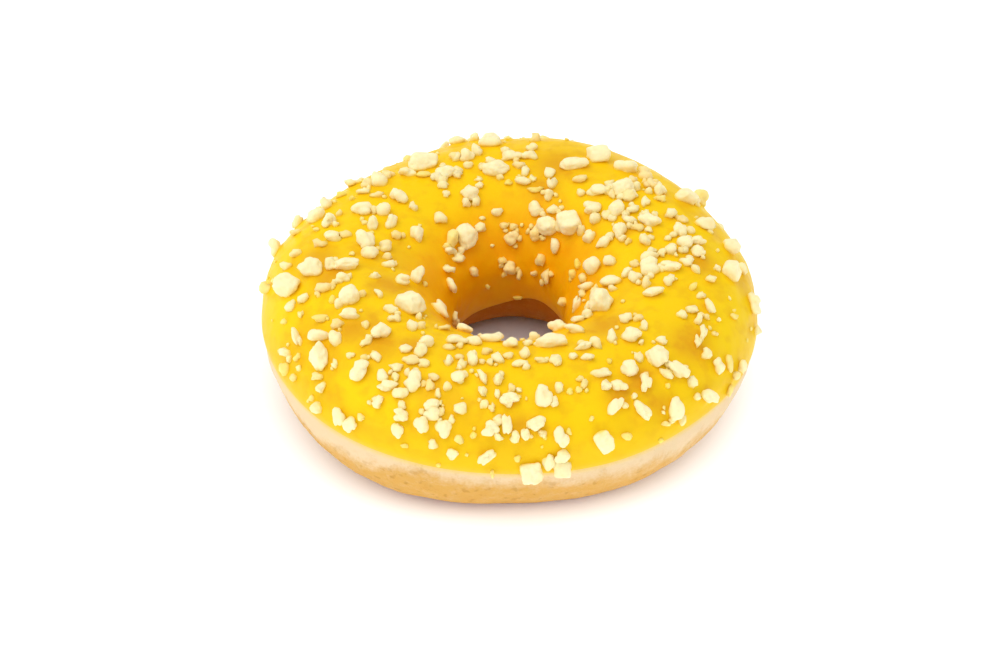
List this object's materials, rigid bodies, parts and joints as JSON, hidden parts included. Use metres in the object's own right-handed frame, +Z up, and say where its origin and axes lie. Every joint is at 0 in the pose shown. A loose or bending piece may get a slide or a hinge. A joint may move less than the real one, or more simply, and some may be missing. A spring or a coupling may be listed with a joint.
{
  "type": "iced ring doughnut",
  "caption": "Ring doughnut of fried dough with a yellow icing shell over its top and into the hole; scattered cream-coloured crumbs belong to its looks.",
  "frame": {"origin": "centre of the outline in plan, on the plane that the doughnut rests on", "axes": "+Z up along the hole, -Y towards the front that shows the widest band of bare dough, +X to the right of it"},
  "size_m": [0.0884, 0.0892, 0.0312],
  "materials": {
    "fried_dough": "soft fried dough, golden underneath and in the hole, with a pale band below the icing",
    "yellow_icing": "set sugar icing, bright yellow, with a soft low sheen",
    "cream_crumb": "dry crumb nuggets, ivory to cream"
  },
  "bodies": {
    "root": {"dough_ring": "fried_dough", "icing_shell": "yellow_icing"}
  },
  "joints": []
}
